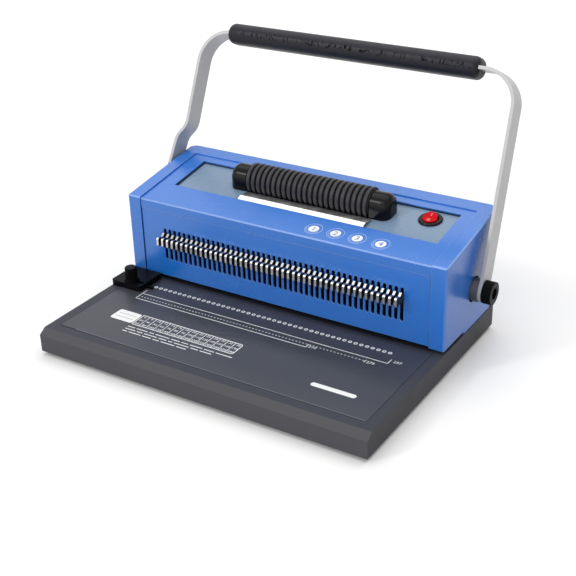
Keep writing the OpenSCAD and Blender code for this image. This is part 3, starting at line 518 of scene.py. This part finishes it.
def print_scale():
    """Hole marks, stop lines and the dashed line in front of the punch, with their lengths in millimetres."""
    holes, pitch, row = 46, 6.35, -21.5
    left, upper, dashes, lower, width = -147.0, -40.0, -46.4, -51.8, 0.85
    long_end, dashed_end, short_end = 149.5, 128.5, 65.3
    dash_count, dash_start, dash_pitch, dash = 69, -143.5, 3.96, 1.7
    marks = Print("mat_scale", MAT_PLANE, WHITE_INK)
    for i in range(holes):
        marks.ring(((i - (holes - 1) / 2) * pitch, row), 2.2, 0.9)
    marks.line((left, upper), (long_end, upper), width)
    marks.line((long_end, upper - width / 2), (long_end + 0.4, -31.5), width)
    marks.line((left, lower), (short_end, lower), width)
    marks.line((short_end, lower - width / 2), (short_end + 0.3, lower + 6), width)
    marks.line((left, lower - width / 2), (left, -31.8), width)
    for i in range(dash_count):
        x = dash_start + i * dash_pitch
        marks.line((x, dashes), (x + dash, dashes), width)
    marks.line((dashed_end, dashes - 2.6), (dashed_end + 0.4, dashes + 2.2), width)
    for value, x, y in ((297, 157.5, -34.6), (210, 71.5, lower + 2.6), (279, 135.0, dashes - 1)):
        marks.number(value, (x, y), 4.2)
    return marks.done()


def print_table():
    """Table of plain numbers: coil size, sheets and twice the sheets in each column."""
    sizes = (6, 8, 10, 12, 14, 16, 18, 20, 22, 25, 28, 30, 32, 38)
    x0, y0, x1, y1 = -115.0, -99.3, 10.5, -78.5
    width, corner, sharp = 1.0, 3.0, 0.01
    column, row = (x1 - x0) / len(sizes), (y1 - y0) / 3
    table = Print("mat_table", MAT_PLANE, WHITE_INK)
    radii = (sharp, corner, corner, sharp)
    inside = [max(r - width, sharp) for r in radii]
    table.band(rounded(x0, y0, x1, y1, radii),
               rounded(x0 + width, y0 + width, x1 - width, y1 - width, inside))
    for i in range(1, len(sizes)):
        table.line((x0 + i * column, y0 + width), (x0 + i * column, y1 - width), 0.75)
    for i, size in enumerate(sizes):
        middle = x0 + (i + 0.5) * column
        for k, value in enumerate((size, size * 5, size * 10)):
            table.number(value, (middle, y1 - (k + 0.5) * row), 3.4)
    return table.done()


def print_plates():
    """Bare plates where the photographed machine has words."""
    head = Print("mat_header_plate", MAT_PLANE, WHITE_INK)
    head.area(rounded(-144.6, -98.5, -116.0, -79.0, (3, 3, 3, 3)))
    head.done()
    rules = Print("mat_header_rules", MAT_PLANE, GREY_INK_AND_HIGHLIGHT, Print.RISE)
    for y in (-85.5, -92.0):
        rules.line((-141.5, y), (-119.0, y), 0.5)
    rules.done()
    bar = Print("mat_plain_bar", MAT_PLANE, WHITE_INK)
    bar.area(rounded(104.0, -109.6, 152.0, -103.6, (3, 3, 3, 3)))
    bar.done()


def print_keys():
    """Four round key symbols on the top cover, numbered in order of use."""
    places = ((35.4, 17.0), (60.3, 17.6), (84.7, 17.7), (110.9, 17.2))
    outer, width, disc = 9.5, 0.7, 5.6
    tick_circle, tick = 7.5, 0.65
    rings = Print("cover_key_rings", COVER_PLANE, PALE_INK)
    discs = Print("cover_key_discs", COVER_PLANE, WHITE_INK)
    digits = Print("cover_key_numbers", COVER_PLANE, BLUE_INK, Print.RISE)
    for i, place in enumerate(places):
        rings.ring(place, outer, outer - width)
        discs.disc(place, disc)
        digits.number(i + 1, place, 7.0)
        for spot in arc(place, tick_circle, 165, 325, 9):
            rings.disc(spot, tick)
    for layer in (rings, discs, digits):
        layer.done(slot="blue_paint")


def print_rocker():
    """Plain bar and ring on the two halves of the rocker, which stands tipped at rest."""
    pivot_y, pivot_depth, tip = 79.5 * MM, 5.0 * MM, math.radians(11)
    crown, fall = 4.1 * MM, math.atan(1.3 / 9)
    low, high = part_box("switch_housing")
    axis = RIM_PLANE @ Matrix.Translation((0, 0, -pivot_depth))
    middle = axis.inverted() @ ((low + high) / 2)
    rocker = axis @ Matrix.Translation((middle.x, pivot_y, 0)) @ Matrix.Rotation(tip, 4, "X")
    ridge = rocker @ Matrix.Translation((0, 0, crown))
    bar = Print("rocker_bar", ridge @ Matrix.Rotation(fall, 4, "X"), ROSE_INK)
    bar.line((0, 2.4), (0, 5.6), 0.8)
    bar.done("rocker", "red_plastic")
    ring = Print("rocker_ring", ridge @ Matrix.Rotation(-fall, 4, "X"), ROSE_INK)
    ring.ring((0, -3.9), 1.7, 1.0)
    ring.done("rocker", "red_plastic")


def print_notes():
    """Plain ruled dashes where the photographed machine has three lines of words."""
    rows = ((9, 14, 6, 17, 11, 8, 15, 12, 19), (13, 7, 16, 10, 5, 18, 9, 14), (6, 15, 11, 8, 17, 12))
    left, top, pitch, space, width = -115.0, -104.6, 4.6, 2.2, 1.1
    notes = Print("mat_rules", MAT_PLANE, WHITE_INK)
    for k, lengths in enumerate(rows):
        x, y = left, top - pitch * k
        for length in lengths:
            notes.line((x, y), (x + length, y), width)
            x += length + space
    notes.done()


def print_frame():
    """Thin lines that frame the mat where its edge is embossed: a painted highlight along the front, painted
    shade along the left side.
    """
    margin, dark_front, dark_back = 0.6, 20, -42.0
    low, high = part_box("base_mat")
    x0, x1 = low.x / MM + margin, high.x / MM - margin
    y0 = (low.y - FRONT_Y) / MM + margin
    # Painted highlight along the mat's front edge.
    light = Print("mat_front_line", MAT_PLANE, GREY_INK_AND_HIGHLIGHT)
    light.line((x0 + dark_front, y0), (x1, y0), 0.6)
    light.done()
    # Painted shade along the mat's left edge and the left end of its front.
    dark = Print("mat_left_line", MAT_PLANE, SHADE_BLACK)
    dark.line((x0, dark_back), (x0, y0), 0.9)
    dark.line((x0, y0), (x0 + dark_front, y0), 0.7)
    dark.done()


def darken_throat():
    """Painted shade: a black sheet on the mat inside the paper throat, from its mouth to the die."""
    side, mouth, back = 2, 0.2, 0.5
    low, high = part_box("base_mat")
    throat_shade_sheet = Print("throat_shade", MAT_PLANE, SHADE_BLACK)
    throat_shade_sheet.area(corners(low.x / MM + side, mouth, high.x / MM - side, (high.y - FRONT_Y) / MM - back))
    throat_shade_sheet.done()


def line_window():
    """Painted shade: a dark strip along the foot of the window's walls."""
    x0, y0, x1, y1 = -153.9, 38.7, 160.9, 96.2
    foot, rise, width = -4.5, 1.3, 0.6
    foot_shade = Print("window_foot_shade", RIM_PLANE, SHADE_BLACK, foot)
    foot_shade.high = foot + rise
    foot_shade.band(corners(x0, y0, x1, y1), corners(x0 + width, y0 + width, x1 - width, y1 - width))
    foot_shade.done(slot="black_matte")


print_scale()
print_table()
print_plates()
print_keys()
print_rocker()
print_notes()
print_frame()
darken_throat()
line_window()


# Stage, light and camera


def light_path(tree):
    """1 for rays that see the stage as a background: from the camera, in gloss and through glass."""
    path = tree.nodes.new("ShaderNodeLightPath")
    total = path.outputs["Is Camera Ray"]
    for kind in ("Is Glossy Ray", "Is Transmission Ray"):
        most = tree.nodes.new("ShaderNodeMath")
        most.operation = "MAXIMUM"
        tree.links.new(total, most.inputs[0])
        tree.links.new(path.outputs[kind], most.inputs[1])
        total = most.outputs[0]
    return total


def make_floor():
    """Pale floor that looks white, keeps the shadow and throws back less light than it shows."""
    half, lit, looked_at = 8.0, 0.66, (0.96, 0.955, 0.95)
    data = bpy.data.meshes.new("floor")
    data.from_pydata([(x, y, 0) for x, y in corners(-half, -half, half, half)], [], [(0, 1, 2, 3)])
    floor = bpy.data.objects.new("floor", data)
    bpy.context.scene.collection.objects.link(floor)
    material = bpy.data.materials.new("pale_floor")
    material.use_nodes = True
    tree = material.node_tree
    tree.nodes.clear()
    plain = tree.nodes.new("ShaderNodeBsdfDiffuse")
    plain.inputs["Color"].default_value = (lit, lit, lit, 1)
    seen = tree.nodes.new("ShaderNodeBsdfDiffuse")
    seen.inputs["Color"].default_value = (*looked_at, 1)
    choose = tree.nodes.new("ShaderNodeMixShader")
    out = tree.nodes.new("ShaderNodeOutputMaterial")
    tree.links.new(light_path(tree), choose.inputs[0])
    tree.links.new(plain.outputs[0], choose.inputs[1])
    tree.links.new(seen.outputs[0], choose.inputs[2])
    tree.links.new(choose.outputs[0], out.inputs[0])
    data.materials.append(material)


def make_world():
    """Even white surroundings: softer as a lamp than as a background."""
    world = bpy.data.worlds.new("studio")
    bpy.context.scene.world = world
    world.use_nodes = True
    tree = world.node_tree
    tree.nodes.clear()
    lamp = tree.nodes.new("ShaderNodeBackground")
    lamp.inputs["Strength"].default_value = 0.52
    seen = tree.nodes.new("ShaderNodeBackground")
    seen.inputs["Strength"].default_value = 1.0
    for node in (lamp, seen):
        node.inputs["Color"].default_value = (1, 1, 1, 1)
    choose = tree.nodes.new("ShaderNodeMixShader")
    out = tree.nodes.new("ShaderNodeOutputWorld")
    tree.links.new(light_path(tree), choose.inputs[0])
    tree.links.new(lamp.outputs[0], choose.inputs[1])
    tree.links.new(seen.outputs[0], choose.inputs[2])
    tree.links.new(choose.outputs[0], out.inputs[0])


def add_sun(name, towards, strength, angle):
    """A far, wide lamp that shines towards a direction."""
    lamp = bpy.data.lights.new(name, "SUN")
    lamp.energy, lamp.angle = strength, math.radians(angle)
    sun = bpy.data.objects.new(name, lamp)
    bpy.context.scene.collection.objects.link(sun)
    sun.rotation_mode = "QUATERNION"
    sun.rotation_quaternion = Vector(towards).to_track_quat("-Z", "Y")


def add_camera():
    """The photograph's viewpoint, with the picture taken as 576 by 576."""
    side, focal_px, sensor = 576, 1126.809, 36.0
    azimuth, elevation, roll = (math.radians(a) for a in (32.484, 27.362, -1.56))
    data = bpy.data.cameras.new("camera")
    data.sensor_width = sensor
    data.lens = focal_px * sensor / side
    camera = bpy.data.objects.new("camera", data)
    bpy.context.scene.collection.objects.link(camera)
    forward = Vector((-math.sin(azimuth) * math.cos(elevation), math.cos(azimuth) * math.cos(elevation),
                      -math.sin(elevation)))
    right = forward.cross(Vector((0, 0, 1))).normalized()
    up = right.cross(forward)
    turned = right * math.cos(roll) + up * math.sin(roll)
    head = up * math.cos(roll) - right * math.sin(roll)
    camera.matrix_world = Matrix.Translation((0.566176, -0.86769 + FRONT_Y, 0.589901)) @ Matrix(
        (turned, head, -forward)).transposed().to_4x4()
    bpy.context.scene.camera = camera


make_floor()
make_world()
add_sun("key", (0.05, -0.26, -0.96), 1.4, 70)
add_sun("fill", (0.12, 0.95, -0.3), 1.15, 80)
add_sun("glint", (0.48, 0.67, -0.57), 0.42, 9)
add_camera()
bpy.context.scene.view_settings.view_transform = "Standard"
